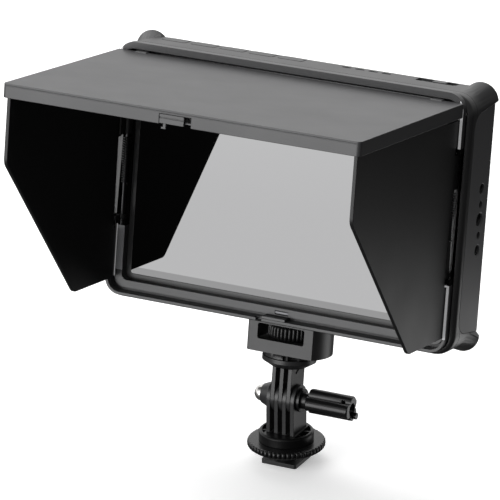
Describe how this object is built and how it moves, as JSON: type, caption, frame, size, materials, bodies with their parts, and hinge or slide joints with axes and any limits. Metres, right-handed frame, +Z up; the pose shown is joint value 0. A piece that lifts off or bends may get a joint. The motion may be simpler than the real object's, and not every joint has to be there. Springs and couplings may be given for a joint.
{
  "type": "camera field monitor with sun hood",
  "caption": "Camera field monitor with a folding three-sided sun hood, on a tilting and turning cold shoe mount with a clamp handle and lock ring.",
  "frame": {"origin": "centre of the underside of the shoe foot", "axes": "+Z up from the shoe, the screen looks to -Y and leans back by 9 degrees, +X is the side with the threaded holes"},
  "size_m": [0.1908, 0.1497, 0.2149],
  "materials": {
    "black_metal": "black anodised, satin",
    "bright_steel": "bright",
    "brass": "plain",
    "black_plastic": "fine matt grain",
    "glass": "glossy cover glass",
    "panel": "dark display, grey when off",
    "board": "lacquered circuit board",
    "socket_metal": "nickel shells"
  },
  "bodies": {
    "foot": {"shoe_foot": "black_metal", "lower_fingers": "black_metal", "clamp_nut": "bright_steel"},
    "ring": {"lock_ring": "black_metal"},
    "clamp": {"clamp_screw": "bright_steel", "clamp_handle": "black_metal"},
    "tilt_head": {"upper_fingers": "black_metal", "swivel_screw": "bright_steel"},
    "monitor": {"mount_block": "black_metal", "bottom_insert": "brass", "rear_housing": "black_plastic", "front_bezel": "black_plastic", "screen_glass": "glass", "lcd_panel": "panel", "main_board": "board", "button_board": "board", "side_plate_right": "black_plastic", "side_plate_left": "black_plastic", "side_sockets": "socket_metal", "battery_plate": "black_plastic", "battery_contacts": "brass", "housing_screws": "bright_steel", "hood_frame": "black_plastic", "catch_spring_bar": "bright_steel", "lid_pins": "bright_steel", "rod_left": "bright_steel", "rod_right": "bright_steel", "spring_left": "bright_steel", "spring_right": "bright_steel"},
    "wheel": {"block_wheel": "black_metal"},
    "release": {"battery_release": "black_plastic"},
    "power": {"power_switch": "black_plastic"},
    "lid": {"hood_lid": "black_plastic"},
    "latch": {"lid_latch": "black_plastic"},
    "left_flap": {"flap_left": "black_plastic"},
    "right_flap": {"flap_right": "black_plastic"},
    "key_1": {"button_1": "black_plastic"},
    "key_2": {"button_2": "black_plastic"},
    "key_3": {"button_3": "black_plastic"},
    "key_4": {"button_4": "black_plastic"},
    "key_5": {"button_5": "black_plastic"}
  },
  "joints": [
    {"name": "ring_spin", "type": "hinge", "parent": "foot", "child": "ring", "pos_m": [0, 0, 0.0083], "axis": [0, 0, 1], "continuous": true},
    {"name": "clamp_spin", "type": "hinge", "parent": "foot", "child": "clamp", "pos_m": [0, 0, 0.0329], "axis": [1, 0, 0], "continuous": true},
    {"name": "tilt_hinge", "type": "hinge", "parent": "foot", "child": "tilt_head", "pos_m": [0, 0, 0.0329], "axis": [1, 0, 0], "range_deg": [-81, 99]},
    {"name": "swivel", "type": "hinge", "parent": "tilt_head", "child": "monitor", "pos_m": [0, 0.00344, 0.05463], "axis": [0, 0.1564, 0.9877], "continuous": true},
    {"name": "wheel_spin", "type": "hinge", "parent": "monitor", "child": "wheel", "pos_m": [0, 0.00501, 0.06451], "axis": [0, 0.1564, 0.9877], "continuous": true},
    {"name": "lid_hinge", "type": "hinge", "parent": "monitor", "child": "lid", "pos_m": [0, -0.00055, 0.19113], "axis": [1, 0, 0], "range_deg": [0, 1.6]},
    {"name": "latch_slide", "type": "slide", "parent": "lid", "child": "latch", "axis": [1, 0, 0], "range_m": [0, 0.0035]},
    {"name": "left_flap_hinge", "type": "hinge", "parent": "monitor", "child": "left_flap", "pos_m": [-0.0855, -0.00274, 0.1364], "axis": [0, 0.1564, 0.9877], "range_deg": [0, 90], "stiffness_Nm_per_rad": 0.02, "springref_deg": -20.05, "deforming": ["spring_left"]},
    {"name": "right_flap_hinge", "type": "hinge", "parent": "monitor", "child": "right_flap", "pos_m": [0.0855, -0.00492, 0.13675], "axis": [0, -0.1564, -0.9877], "range_deg": [0, 90], "stiffness_Nm_per_rad": 0.02, "springref_deg": -20.05, "deforming": ["spring_right"]},
    {"name": "key_1_press", "type": "slide", "parent": "monitor", "child": "key_1", "axis": [0, -0.1564, -0.9877], "range_m": [0, 0.0006], "stiffness_N_per_m": 900, "springref_m": -0.0003},
    {"name": "key_2_press", "type": "slide", "parent": "monitor", "child": "key_2", "axis": [0, -0.1564, -0.9877], "range_m": [0, 0.0006], "stiffness_N_per_m": 900, "springref_m": -0.0003},
    {"name": "key_3_press", "type": "slide", "parent": "monitor", "child": "key_3", "axis": [0, -0.1564, -0.9877], "range_m": [0, 0.0006], "stiffness_N_per_m": 900, "springref_m": -0.0003},
    {"name": "key_4_press", "type": "slide", "parent": "monitor", "child": "key_4", "axis": [0, -0.1564, -0.9877], "range_m": [0, 0.0006], "stiffness_N_per_m": 900, "springref_m": -0.0003},
    {"name": "key_5_press", "type": "slide", "parent": "monitor", "child": "key_5", "axis": [0, -0.1564, -0.9877], "range_m": [0, 0.0006], "stiffness_N_per_m": 900, "springref_m": -0.0003},
    {"name": "power_slide", "type": "slide", "parent": "monitor", "child": "power", "axis": [-1, 0, 0], "range_m": [0, 0.006]},
    {"name": "release_slide", "type": "slide", "parent": "monitor", "child": "release", "axis": [0, 0.1564, 0.9877], "range_m": [0, 0.0026], "stiffness_N_per_m": 200, "springref_m": -0.001}
  ]
}
